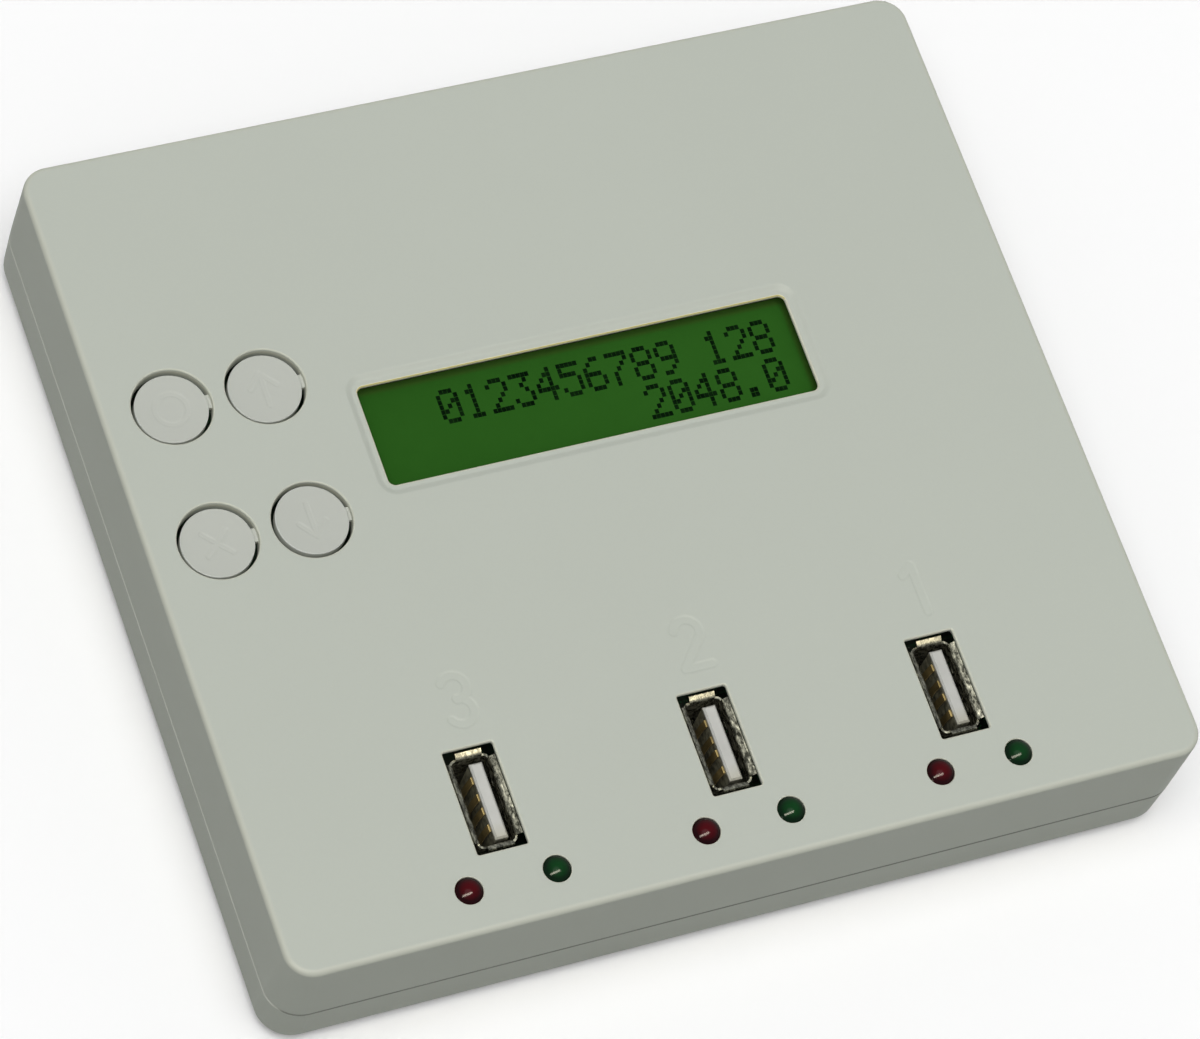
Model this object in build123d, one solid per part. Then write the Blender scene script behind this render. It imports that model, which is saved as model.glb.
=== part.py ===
from build123d import *
from math import cos, radians, sin, tan
import os

# Copier for flash drives: a flat two-shell case with a character display, four living-hinge buttons,
# three upright USB-A sockets and a pair of LEDs in front of each socket.
# Millimetres. X runs to the right, Y to the back, Z up. The origin is on the desk, under the case's middle.

# Case, over the parting line, where it is widest
case_width = 134.4
case_depth = 123.4
case_height = 21.8
parting_height = 8.1
corner_radius = 5.0
wall = 2.2
upper_draft = 2.0
lower_draft = 0.5
top_edge_radius = 1.5
base_edge_radius = 0.8
rim_thickness = 0.9
rim_height = 1.4
reveal = 0.25
reveal_slope = 45.0
slip_gap = 0.1

# Rubber feet
foot_radius = 5.0
foot_proud = 1.5
foot_recess = 0.5
foot_inset = 17.0
foot_edge_radius = 0.5

# Case screws, driven from below at the corners
boss_inset = 7.2
boss_radius = 3.2
post_radius = 3.7
boss_joint_height = 7.0
case_screw_radius = 1.45
case_screw_length = 12.0
case_head_radius = 2.8
case_head_height = 1.9
head_seat_height = 3.4
thread_gap = 0.05
hole_gap = 0.25
gusset = 1.2

# Main board and its standoffs
board_height = 5.5
board_thickness = 1.6
board_edge_gap = 1.8
board_notch_gap = 0.9
standoff_radius = 3.0
standoff_inset = 17.2
standoff_back_inset = 19.7
standoff_front_inset = 27.7
board_screw_radius = 1.25
board_screw_length = 5.8
board_head_radius = 2.4
board_head_height = 1.6
support_radius = 3.5

# Buttons, in two columns and two rows
column_inset = 10.4
column_pitch = 13.4
row_inset = 62.9
row_pitch = 20.5
button_hole_radius = 5.55
button_hole_rounding = 0.8
button_slot = 0.4
button_edge_radius = 0.3
button_thickness = 1.8
button_sink = 0.75
dish_depth = 0.15
bridge_width = 2.0
bridge_thickness = 0.8
bridge_depth = 0.85
hinge_gap = 0.05
post_tip_radius = 1.3
press_gap = 0.1

# Tact switches under the buttons
switch_size = 6.0
switch_corner = 0.6
switch_height = 3.5
switch_cover = 0.3
plunger_radius = 1.75
plunger_height = 9.5
plunger_seat = 1.0
plunger_travel = 0.3
running_gap = 0.06

# Display window in the top of the case
window_gap = 12.2
window_inset = 65.1
window_width = 64.0
window_height = 15.2
window_radius = 1.0
bevel_width = 1.8
bevel_depth = 0.5
window_lip = 0.85
window_relief = 1.2

# Display module: its board and its bezel reach past the window by these margins
display_board_margin_x = 8.0
display_board_margin_y = 10.4
display_hole_inset = 2.5
display_hole_radius = 1.25
display_boss_radius = 2.5
display_screw_radius = 1.15
display_screw_length = 7.0
display_head_radius = 2.2
display_head_height = 1.3
bezel_margin_x = 3.6
bezel_margin_y = 4.5
bezel_height = 7.4
bezel_sheet = 0.5
bezel_window_margin = 1.0
bezel_radius = 0.8
bezel_gap = 0.1
glass_gap = 0.2
glass_thickness = 2.2
polariser_thickness = 0.2
polariser_margin = 1.2
strip_width = 1.8
strip_margin = 1.5
backlight_margin = 1.5
rib_height = 3.0
rib_thickness = 1.2
rib_gap = 0.2
rib_end_gap = 15.6

# Header between the display board and the main board
header_pin_count = 16
header_pin_spacing = 2.54
header_pin_size = 0.64
header_width = 2.5
header_height = 2.5
header_inset = 2.5

# Upright USB-A sockets
port_count = 3
port_pitch = 33.9
port_row_inset = 18.6
port_row_offset = 0.2
port_hole_x = 7.2
port_hole_y = 15.1
port_lip = 1.1
port_relief = 0.8
shell_x = 5.72
shell_y = 13.1
shell_sheet = 0.3
shell_corner = 0.9
shell_mouth_depth = 1.15
lip_bend_radius = 0.35
lip_bend = 60.0
lip_length = 0.58
long_lip = 11.6
short_lip = 3.7
finger_slot = 2.2
finger_width = 1.5
finger_length = 6.5
finger_depth = 1.4
finger_bow = 0.3
finger_spread = 6.0
insulator_gap = 0.05
insulator_base = 4.0
tongue_thickness = 1.84
tongue_width = 11.1
tongue_offset = 0.8
tongue_depth = 1.3
tongue_chamfer = 0.25
contact_width = 1.0
contact_sheet = 0.2
contact_bow = 0.45
contact_margin = 0.9
contact_pitches = (-3.5, -1.0, 1.0, 3.5)

# LEDs in front of each socket
led_row_gap = 12.0
led_red_offsets = (6.4, 6.3, 5.6)
led_green_offset = 6.1
led_hole_radius = 1.95
led_radius = 1.8
led_flange_radius = 2.2
led_flange_height = 1.0
led_length = 5.3
led_proud = 0.9
lead_spacing = 2.54
lead_size = 0.5
spacer_radius = 2.5
spacer_bore = 1.9

# Power inlet at the back
jack_inset = 29.0
jack_width = 9.0
jack_height = 11.0
jack_length = 13.0
jack_axis_height = 6.5
jack_nose_radius = 4.2
jack_bore_radius = 3.15
jack_bore_depth = 9.5
jack_pin_radius = 1.05
jack_pin_recess = 0.8
jack_recess = 0.3
jack_wall_gap = 0.25
leaf_width = 2.4
leaf_sheet = 0.3
leaf_length = 6.0
leaf_lift = 0.35
pocket_depth = 1.2

# Small components on the main board
chip_size = 10.0
chip_height = 1.4
chip_standoff = 0.1
chip_pins = 11
chip_pitch = 0.8
chip_pin_width = 0.35
chip_pin_reach = 1.0
chip_pin_height = 0.25
chip_row_gap = 21.0
memory_length = 5.0
memory_width = 4.0
memory_pins = 4
memory_pitch = 1.27
part_gap = 14.0
capacitor_radius = 3.15
capacitor_height = 7.5
capacitor_gap = 2.0
crystal_length = 11.0
crystal_width = 4.6
crystal_height = 3.4
regulator_length = 6.5
regulator_width = 3.5
regulator_height = 1.6
chip_resistor_length = 1.6
chip_resistor_width = 0.8
chip_resistor_height = 0.5

# Levels
base_z = foot_proud
floor_z = base_z + wall
parting_z = base_z + parting_height
top_z = base_z + case_height
ceiling_z = top_z - wall
boss_joint_z = base_z + boss_joint_height
board_low_z = base_z + board_height
board_z = board_low_z + board_thickness
display_face_z = ceiling_z - bezel_gap
display_board_z = display_face_z - bezel_height
display_board_low_z = display_board_z - board_thickness
glass_z = display_face_z - bezel_sheet - polariser_thickness - glass_thickness

# Places in plan, laid out from the left and front edges
left = -case_width / 2
front = -case_depth / 2
inner_width = case_width - 2 * wall
inner_depth = case_depth - 2 * wall
corners = [(x, y) for x in (-1, 1) for y in (-1, 1)]
column_x = [left + column_inset, left + column_inset + column_pitch]
row_y = [front + row_inset, front + row_inset + row_pitch]
window_x = column_x[1] + window_gap + window_width / 2
window_y = front + window_inset + window_height / 2
port_x = [port_row_offset + (i - (port_count - 1) / 2) * port_pitch for i in range(port_count)]
port_y = front + port_row_inset
led_y = port_y - led_row_gap
red_x = [x - offset for x, offset in zip(port_x, led_red_offsets)]
green_x = [x + led_green_offset for x in port_x]
boss_places = [(x * (case_width / 2 - boss_inset), y * (case_depth / 2 - boss_inset)) for x, y in corners]
foot_places = [(x * (case_width / 2 - foot_inset), y * (case_depth / 2 - foot_inset)) for x, y in corners]
standoff_x = case_width / 2 - standoff_inset
standoff_back = case_depth / 2 - standoff_back_inset
standoff_front = standoff_front_inset - case_depth / 2
standoff_places = [(x * standoff_x, y) for x in (-1, 1) for y in (standoff_front, standoff_back)]
display_board_width = window_width + 2 * display_board_margin_x
display_board_height = window_height + 2 * display_board_margin_y
display_hole_x = display_board_width / 2 - display_hole_inset
display_hole_y = display_board_height / 2 - display_hole_inset
display_places = [(window_x + x * display_hole_x, window_y + y * display_hole_y) for x, y in corners]
bezel_width = window_width + 2 * bezel_margin_x
bezel_depth = window_height + 2 * bezel_margin_y
buttons = {
    "front_left": (column_x[0], row_y[0]),
    "back_left": (column_x[0], row_y[1]),
    "front_right": (column_x[1], row_y[0]),
    "back_right": (column_x[1], row_y[1]),
}
jack_x = case_width / 2 - jack_inset
jack_z = board_z + jack_axis_height


def draft_shift(z):
    """How far the wall of the upper case has drawn in at the level z."""
    return tan(radians(upper_draft)) * (z - parting_z)


def block(x0, x1, y0, y1, z0, z1):
    """A box given by its limits on each axis."""
    return Pos((x0 + x1) / 2, (y0 + y1) / 2, (z0 + z1) / 2) * Box(x1 - x0, y1 - y0, z1 - z0)


def rod(place, radius, z0, z1):
    """An upright cylinder from z0 to z1."""
    return Pos(place[0], place[1], (z0 + z1) / 2) * Cylinder(radius, z1 - z0)


def slab(width, depth, radius, z0, z1, draft=0.0):
    """An upright plate with rounded corners that draws in by the draft angle on its way from z0 to z1."""
    outline = Pos(0, 0, z0) * RectangleRounded(width, depth, radius)
    return extrude(outline, amount=z1 - z0, taper=draft)


def outline_slab(inset, z0, z1, draft=0.0):
    """A slab that follows the outline of the case, drawn in by the inset."""
    return slab(case_width - 2 * inset, case_depth - 2 * inset, corner_radius - inset, z0, z1, draft)


def edges_at(solid, z):
    """The edges that lie wholly at the level z."""
    return solid.edges().filter_by_position(Axis.Z, z - 0.001, z + 0.001)


def button_holes():
    """Round holes for the discs, with their upper edges rounded over."""
    tools = []
    reach = button_hole_radius + button_hole_rounding
    rounding = Pos(reach, top_z - button_hole_rounding) * Circle(button_hole_rounding)
    notch = Pos(button_hole_radius, top_z - button_hole_rounding) * Rectangle(
        button_hole_rounding, button_hole_rounding + slip_gap, align=(Align.MIN, Align.MIN)
    )
    ring = revolve(Plane.XZ * (notch - rounding), Axis.Z)
    for place in buttons.values():
        tools.append(rod(place, button_hole_radius, ceiling_z - slip_gap, top_z + slip_gap))
        tools.append(Pos(place[0], place[1], 0) * ring)
    return tools


def window_cut():
    """The display window with its bevelled frame, and the relief under its edge that leaves a thin lip."""
    outer = Pos(window_x, window_y, top_z) * RectangleRounded(
        window_width + 2 * bevel_width, window_height + 2 * bevel_width, window_radius + bevel_width
    )
    inner = Pos(window_x, window_y, top_z - bevel_depth) * RectangleRounded(
        window_width, window_height, window_radius
    )
    bevel = loft([inner, outer], ruled=True)
    lid = extrude(outer, amount=slip_gap)
    hole = extrude(inner, amount=-wall, dir=(0, 0, 1))
    relief = slab(window_width + 2 * window_relief, window_height + 2 * window_relief,
                  window_radius + window_relief, ceiling_z - slip_gap, top_z - bevel_depth - window_lip)
    return [bevel, lid, hole, Pos(window_x, window_y, 0) * relief]


def display_ribs():
    """Ribs under the top that keep the display module in line with its window."""
    x_off = bezel_width / 2 + rib_gap
    y_off = bezel_depth / 2 + rib_gap
    low = ceiling_z - rib_height
    ribs = []
    for side in (-1, 1):
        x0, x1 = sorted((side * x_off, side * (x_off + rib_thickness)))
        y0, y1 = sorted((side * y_off, side * (y_off + rib_thickness)))
        half = bezel_depth / 2
        ribs.append(block(window_x + x0, window_x + x1, window_y - half, window_y + half, low, ceiling_z))
        half = bezel_width / 2 - rib_end_gap
        ribs.append(block(window_x - half, window_x + half, window_y + y0, window_y + y1, low, ceiling_z))
    return ribs


def boss_gussets(place, z0, z1):
    """Two thin webs that tie a corner boss to the walls beside it."""
    x, y = place
    x_wall = (case_width / 2 - wall / 2 - draft_shift(z1)) * (1 if x > 0 else -1)
    y_wall = (case_depth / 2 - wall / 2 - draft_shift(z1)) * (1 if y > 0 else -1)
    x0, x1 = sorted((x, x_wall))
    y0, y1 = sorted((y, y_wall))
    half = gusset / 2
    return [block(x0, x1, y - half, y + half, z0, z1), block(x - half, x + half, y0, y1, z0, z1)]


def nose_hole():
    """The hole through the back wall for the round nose of the power inlet."""
    hole = Cylinder(jack_nose_radius + jack_wall_gap, 3 * wall, rotation=(90, 0, 0))
    return Pos(jack_x, case_depth / 2 - wall, jack_z) * hole


def upper_case():
    """The visible shell: top, four drafted walls, bosses, and every opening for what shows."""
    shell = outline_slab(0, parting_z, top_z, upper_draft)
    shell = fillet(edges_at(shell, top_z), top_edge_radius)
    shell -= outline_slab(wall, parting_z, ceiling_z, upper_draft)
    shell -= outline_slab(wall - rim_thickness - slip_gap, parting_z, parting_z + rim_height + slip_gap)
    for place in boss_places:
        shell += rod(place, boss_radius, boss_joint_z, ceiling_z)
        shell += boss_gussets(place, parting_z + rim_height + slip_gap, ceiling_z)
    for place in display_places:
        shell += rod(place, display_boss_radius, display_board_z, ceiling_z)
    shell += display_ribs()
    for place in boss_places:
        depth = base_z + head_seat_height + case_screw_length + hole_gap
        shell -= rod(place, case_screw_radius + thread_gap, boss_joint_z, depth)
    for place in display_places:
        depth = display_board_low_z + display_screw_length + hole_gap
        shell -= rod(place, display_screw_radius + thread_gap, display_board_z, depth)
    shell -= button_holes()
    shell -= window_cut()
    half_x = port_hole_x / 2
    half_y = port_hole_y / 2
    for x in port_x:
        shell -= block(x - half_x, x + half_x, port_y - half_y, port_y + half_y, ceiling_z - slip_gap,
                       top_z + slip_gap)
        shell -= block(x - half_x - port_relief, x + half_x + port_relief, port_y - half_y - port_relief,
                       port_y + half_y + port_relief, ceiling_z - slip_gap, top_z - port_lip)
    for x in red_x + green_x:
        shell -= rod((x, led_y), led_hole_radius, ceiling_z - slip_gap, top_z + slip_gap)
    return shell - nose_hole()


def lower_case():
    """The tray below the parting line, with its rim, screw posts, standoffs and socket supports."""
    outline = Pos(0, 0, parting_z - reveal) * RectangleRounded(case_width, case_depth, corner_radius)
    tray = extrude(outline, amount=reveal - parting_height, taper=lower_draft)
    tray = fillet(edges_at(tray, base_z), base_edge_radius)
    tray += extrude(outline, amount=reveal, taper=reveal_slope)
    tray -= outline_slab(wall, floor_z, parting_z)
    rim = outline_slab(wall - rim_thickness, parting_z - reveal, parting_z + rim_height)
    tray += rim - outline_slab(wall, parting_z - reveal, parting_z + rim_height)
    for place in boss_places:
        tray += rod(place, post_radius, floor_z, boss_joint_z)
    for place in standoff_places:
        tray += rod(place, standoff_radius, floor_z, board_low_z)
    for x in port_x:
        tray += rod((x, port_y), support_radius, floor_z, board_low_z)
    for place in boss_places:
        tray -= rod(place, case_screw_radius + hole_gap, base_z, boss_joint_z)
        tray -= rod(place, case_head_radius + hole_gap, base_z, base_z + head_seat_height)
    for place in standoff_places:
        depth = board_z - board_screw_length - hole_gap
        tray -= rod(place, board_screw_radius + thread_gap, depth, board_low_z)
    for place in foot_places:
        tray -= rod(place, foot_radius + slip_gap, base_z, base_z + foot_recess)
    return tray - nose_hole()


def button(place):
    """A round disc with a dished top, its half of the living hinge, and the post above the switch."""
    disc_radius = button_hole_radius - button_slot
    disc_top = top_z - button_sink
    disc = rod((0, 0), disc_radius, disc_top - button_thickness, disc_top)
    disc = fillet(edges_at(disc, disc_top), button_edge_radius)
    dish_radius = (disc_radius - 2 * button_edge_radius) ** 2 / (2 * dish_depth) + dish_depth / 2
    disc -= Pos(0, 0, disc_top - dish_depth + dish_radius) * Sphere(dish_radius)
    nose = bridge_thickness / 2
    hinge_x = button_hole_radius - hinge_gap - nose
    hinge_z = top_z - bridge_depth - nose
    half = bridge_width / 2
    bridge = block(disc_radius - button_thickness, hinge_x, -half, half, hinge_z - nose, hinge_z + nose)
    bridge += Pos(hinge_x, 0, hinge_z) * Cylinder(nose, bridge_width, rotation=(90, 0, 0))
    tip_z = board_z + plunger_height + press_gap
    post = rod((0, 0), post_tip_radius, tip_z, disc_top - button_thickness)
    return Pos(place[0], place[1], 0) * (disc + bridge + post)


def switch_body(place):
    """Moulded body of a tact switch, with the blind hole that its plunger runs in."""
    body = Pos(0, 0, board_z) * RectangleRounded(switch_size, switch_size, switch_corner)
    body = extrude(body, amount=switch_height - switch_cover)
    hole_floor = board_z + switch_height - switch_cover - plunger_seat - plunger_travel
    body -= rod((0, 0), plunger_radius + running_gap, hole_floor, board_z + switch_height)
    return Pos(place[0], place[1], 0) * body


def switch_covers():
    """Steel cover plates, one on each tact switch."""
    plate = Pos(0, 0, board_z + switch_height - switch_cover) * RectangleRounded(
        switch_size, switch_size, switch_corner
    )
    plate -= Pos(0, 0, board_z + switch_height - switch_cover) * Circle(plunger_radius + running_gap)
    plate = extrude(plate, amount=switch_cover)
    return [Pos(x, y, 0) * plate for x, y in buttons.values()]


def switch_plunger(place):
    """The round plunger that the button's post pushes down."""
    return rod(place, plunger_radius, board_z + switch_height - switch_cover - plunger_seat,
               board_z + plunger_height)


def main_board():
    """The circuit board, notched round the corner posts and drilled for its screws."""
    width = inner_width - 2 * board_edge_gap
    depth = inner_depth - 2 * board_edge_gap
    board = block(-width / 2, width / 2, -depth / 2, depth / 2, board_low_z, board_z)
    notch = post_radius + board_notch_gap
    for x, y in boss_places:
        board -= Pos(x, y, (board_low_z + board_z) / 2) * Box(2 * notch, 2 * notch, 2 * board_thickness)
        x_edge = x + (boss_inset if x > 0 else -boss_inset)
        y_edge = y + (boss_inset if y > 0 else -boss_inset)
        x0, x1 = sorted((x, x_edge))
        y0, y1 = sorted((y, y_edge))
        board -= block(x0, x1, y0, y1, board_low_z, board_z)
    for place in standoff_places:
        board -= rod(place, board_screw_radius + hole_gap, board_low_z, board_z)
    return board


def screw(place, z_seat, length, radius, head_radius, head_height, up):
    """A pan-head screw whose shank runs from its seat up or down, with the head on the other side."""
    sign = 1 if up else -1
    shank_z = sorted((z_seat, z_seat + sign * length))
    head_z = sorted((z_seat, z_seat - sign * head_height))
    head = rod(place, head_radius, *head_z)
    outer_z = z_seat - sign * head_height
    head = fillet(edges_at(head, outer_z), head_height / 3)
    return head + rod(place, radius, *shank_z)


def display_board():
    """The display's own board, drilled at its corners."""
    outline = Rectangle(display_board_width, display_board_height)
    board = Pos(window_x, window_y, display_board_low_z) * outline
    for x, y in display_places:
        board -= Pos(x, y, display_board_low_z) * Circle(display_hole_radius)
    return extrude(board, amount=board_thickness)


def display_bezel():
    """Pressed steel frame that clamps the glass to the board."""
    bezel = slab(bezel_width, bezel_depth, bezel_radius, display_board_z, display_face_z)
    sheet = bezel_sheet
    bezel -= block(sheet - bezel_width / 2, bezel_width / 2 - sheet, sheet - bezel_depth / 2,
                   bezel_depth / 2 - sheet, display_board_z, display_face_z - sheet)
    margin = bezel_window_margin
    bezel -= slab(window_width + 2 * margin, window_height + 2 * margin, bezel_radius, display_face_z - sheet,
                  display_face_z)
    return Pos(window_x, window_y, 0) * bezel


def display_layer(width, depth, z0, z1):
    """A flat layer of the display, centred behind the window."""
    return Pos(window_x, window_y, 0) * block(-width / 2, width / 2, -depth / 2, depth / 2, z0, z1)


glass_width = bezel_width - 2 * bezel_sheet - 2 * glass_gap
glass_depth = bezel_depth - 2 * bezel_sheet - 2 * glass_gap


def display_glass():
    """The two bonded glass plates, as one solid."""
    return display_layer(glass_width, glass_depth, glass_z, glass_z + glass_thickness)


def display_polariser():
    """The film on the glass, which is what shows through the window."""
    z = glass_z + glass_thickness
    width = glass_width - 2 * polariser_margin
    depth = glass_depth - 2 * polariser_margin
    return display_layer(width, depth, z, z + polariser_thickness)


def contact_strips():
    """Elastomer strips that join the glass to the pads on the board."""
    half = glass_width / 2 - strip_margin
    strips = []
    for side in (-1, 1):
        y0, y1 = sorted((side * glass_depth / 2, side * (glass_depth / 2 - strip_width)))
        strips.append(Pos(window_x, window_y, 0) * block(-half, half, y0, y1, display_board_z, glass_z))
    return strips


def display_backlight():
    """The light guide between the contact strips."""
    width = glass_width - 2 * backlight_margin
    depth = glass_depth - 2 * strip_width - 2 * backlight_margin
    return display_layer(width, depth, display_board_z, glass_z)


header_y = window_y + display_board_height / 2 - header_inset


def header_places():
    """The places of the header's pins, in a row behind the display."""
    start = window_x - (header_pin_count - 1) * header_pin_spacing / 2
    return [(start + i * header_pin_spacing, header_y) for i in range(header_pin_count)]


def header_strip():
    """The plastic strip that stands on the main board."""
    half = header_pin_count * header_pin_spacing / 2
    return block(window_x - half, window_x + half, header_y - header_width / 2, header_y + header_width / 2,
                 board_z, board_z + header_height)


def header_pin_row():
    """Square pins from the strip up to the display board."""
    low = board_z + header_height
    mid = (low + display_board_low_z) / 2
    pin = Box(header_pin_size, header_pin_size, display_board_low_z - low)
    return [Pos(x, y, mid) * pin for x, y in header_places()]


def lip_profile(reach):
    """Section of a flared lip: the sheet leaves the wall at the reach, bends outwards and runs straight."""
    mouth_z = top_z - shell_mouth_depth
    outer = lip_bend_radius
    inner = lip_bend_radius + shell_sheet
    centre = (reach + lip_bend_radius, 0, mouth_z)
    turn = radians(lip_bend)

    def on_arc(radius, angle):
        return Vector(centre[0] - radius * cos(angle), 0, centre[2] + radius * sin(angle))

    run = Vector(sin(turn), 0, cos(turn)) * lip_length
    a0, a1, a2 = (on_arc(inner, turn * share) for share in (0, 0.5, 1))
    b0, b1, b2 = (on_arc(outer, turn * share) for share in (0, 0.5, 1))
    sides = [
        ThreePointArc(a0, a1, a2),
        Line(a2, a2 + run),
        Line(a2 + run, b2 + run),
        Line(b2 + run, b2),
        ThreePointArc(b2, b1, b0),
        Line(b0, a0),
    ]
    return make_face(sides)


def lips():
    """The four flared lips round the mouth of a socket shell."""
    long_one = extrude(lip_profile(shell_x / 2), amount=long_lip / 2, dir=(0, 1, 0), both=True)
    short_one = extrude(lip_profile(shell_y / 2), amount=short_lip / 2, dir=(0, 1, 0), both=True)
    return [long_one, Rot(0, 0, 180) * long_one, Rot(0, 0, 90) * short_one, Rot(0, 0, -90) * short_one]


def bowed_strip(x, bow, sheet, y0, y1, z0, z1):
    """A thin strip that stands from z0 to z1 at x and bows sideways by the bow at half height."""
    mid = (z0 + z1) / 2
    near = ThreePointArc((x, y0, z0), (x + bow, y0, mid), (x, y0, z1))
    far = ThreePointArc((x + sheet, y0, z1), (x + sheet + bow, y0, mid), (x + sheet, y0, z0))
    sides = [near, Line((x, y0, z1), (x + sheet, y0, z1)), far, Line((x + sheet, y0, z0), (x, y0, z0))]
    return extrude(make_face(sides), amount=y1 - y0, dir=(0, 1, 0))


def usb_shell(x):
    """Rolled steel shell with flared lips and a pair of spring fingers in each wide wall."""
    mouth_z = top_z - shell_mouth_depth
    shell = slab(shell_x, shell_y, shell_corner, board_z, mouth_z)
    shell -= slab(shell_x - 2 * shell_sheet, shell_y - 2 * shell_sheet, shell_corner - shell_sheet, board_z,
                  mouth_z)
    shell += lips()
    high = mouth_z - finger_depth
    low = high - finger_length
    for y in (-finger_spread / 2, finger_spread / 2):
        shell -= block(-shell_x, shell_x, y - finger_slot / 2, y + finger_slot / 2, low, high)
        y0 = y - finger_width / 2
        y1 = y + finger_width / 2
        tip = high - hole_gap
        shell += bowed_strip(-shell_x / 2, finger_bow, shell_sheet, y0, y1, low, tip)
        shell += bowed_strip(shell_x / 2 - shell_sheet, -finger_bow, shell_sheet, y0, y1, low, tip)
    return Pos(x, port_y, 0) * shell


tongue_top = top_z - tongue_depth
tongue_left = tongue_offset - tongue_thickness / 2


def usb_insulator(x):
    """White moulding that fills the foot of the shell and carries the contact tongue."""
    gap = shell_sheet + insulator_gap
    base = slab(shell_x - 2 * gap, shell_y - 2 * gap, shell_corner - shell_sheet, board_z,
                board_z + insulator_base)
    tongue = block(tongue_left, tongue_left + tongue_thickness, -tongue_width / 2, tongue_width / 2,
                   board_z + insulator_base, tongue_top)
    tongue = chamfer(edges_at(tongue, tongue_top), tongue_chamfer)
    return Pos(x, port_y, 0) * (base + tongue)


def usb_contacts(x):
    """Four bowed contacts on the left face of the tongue."""
    low = board_z + insulator_base
    high = tongue_top - contact_margin
    half = contact_width / 2
    strips = []
    for y in contact_pitches:
        x0 = tongue_left - contact_sheet
        strip = bowed_strip(x0, -contact_bow, contact_sheet, y - half, y + half, low, high)
        strips.append(Pos(x, port_y, 0) * strip)
    return strips


led_base_z = top_z + led_proud - led_length


def led(x):
    """A domed LED with its flange."""
    dome_z = led_base_z + led_length - led_radius
    lens = rod((x, led_y), led_radius, led_base_z, dome_z)
    lens += Pos(x, led_y, dome_z) * Sphere(led_radius)
    return lens + rod((x, led_y), led_flange_radius, led_base_z, led_base_z + led_flange_height)


def led_spacers():
    """Tubes that hold the LEDs at the height of the case top."""
    ring = Pos(0, 0, board_z) * (Circle(spacer_radius) - Circle(spacer_bore))
    tube = extrude(ring, amount=led_base_z - board_z)
    return [Pos(x, led_y, 0) * tube for x in red_x + green_x]


def led_leads():
    """Two square leads from each LED down to the board."""
    mid = (board_z + led_base_z) / 2
    lead = Box(lead_size, lead_size, led_base_z - board_z)
    sides = (-lead_spacing / 2, lead_spacing / 2)
    return [Pos(x + off, led_y, mid) * lead for x in red_x + green_x for off in sides]


jack_face_y = case_depth / 2 - wall - draft_shift(board_z + jack_height) - jack_wall_gap
jack_nose_y = case_depth / 2 - draft_shift(jack_z) - jack_recess


def along_y(radius, y0, y1):
    """A cylinder on the axis of the power inlet, from y0 to y1."""
    return Pos(jack_x, (y0 + y1) / 2, jack_z) * Cylinder(radius, y1 - y0, rotation=(90, 0, 0))


def jack_housing():
    """Housing of the power inlet, with a round nose that shows in the back wall."""
    half = jack_width / 2
    housing = block(jack_x - half, jack_x + half, jack_face_y - jack_length, jack_face_y, board_z,
                    board_z + jack_height)
    housing += along_y(jack_nose_radius, jack_face_y, jack_nose_y)
    housing -= along_y(jack_bore_radius, jack_nose_y - jack_bore_depth, jack_nose_y)
    low = jack_z - jack_bore_radius - pocket_depth
    pocket_half = leaf_width / 2 + slip_gap
    housing -= block(jack_x - pocket_half, jack_x + pocket_half, jack_face_y - leaf_length - hole_gap,
                     jack_face_y - hole_gap, low, jack_z)
    return housing


def jack_pin():
    """Centre pin with a rounded tip."""
    pin = along_y(jack_pin_radius, jack_nose_y - jack_bore_depth, jack_nose_y - jack_pin_recess)
    tip = pin.edges().sort_by(Axis.Y)[-1]
    return fillet(tip, jack_pin_radius / 2)


def jack_leaf():
    """Side contact, a bowed leaf in a pocket under the bore."""
    low = jack_z - jack_bore_radius - pocket_depth
    y0 = jack_face_y - leaf_length
    y1 = jack_face_y - 2 * hole_gap
    mid = (y0 + y1) / 2
    crown = low + pocket_depth + leaf_lift
    half = leaf_width / 2
    x = jack_x - half
    under = ThreePointArc((x, y0, low), (x, mid, crown - leaf_sheet), (x, y1, low))
    over = ThreePointArc((x, y1, low + leaf_sheet), (x, mid, crown), (x, y0, low + leaf_sheet))
    back = Line((x, y1, low), (x, y1, low + leaf_sheet))
    fore = Line((x, y0, low + leaf_sheet), (x, y0, low))
    return extrude(make_face([under, back, over, fore]), amount=leaf_width, dir=(1, 0, 0))


chip_x = port_row_offset
chip_y = port_y + chip_row_gap
memory_x = chip_x - chip_size / 2 - part_gap
crystal_x = chip_x + chip_size / 2 + part_gap
back_row_y = case_depth / 2 - wall - board_edge_gap - capacitor_radius - capacitor_gap


def chip_body(x, y, length, width):
    """A moulded package that stands just clear of the board."""
    low = board_z + chip_standoff
    body = block(x - length / 2, x + length / 2, y - width / 2, y + width / 2, low, low + chip_height)
    return chamfer(edges_at(body, low + chip_height), chip_standoff)


def pin_row(x, y, count, pitch, edge, turn):
    """A row of flat pins along one side of a package, whose edge lies that far from its centre."""
    pin = Pos(edge + chip_pin_reach / 2, 0, board_z + chip_pin_height / 2) * Box(
        chip_pin_reach, chip_pin_width, chip_pin_height
    )
    offsets = [(i - (count - 1) / 2) * pitch for i in range(count)]
    return [Pos(x, y, 0) * Rot(0, 0, turn) * Pos(0, offset, 0) * pin for offset in offsets]


def controller_leads():
    """Pins on all four sides of the copy controller."""
    rows = [pin_row(chip_x, chip_y, chip_pins, chip_pitch, chip_size / 2, turn) for turn in (0, 90, 180, 270)]
    return [pin for row in rows for pin in row]


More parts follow.
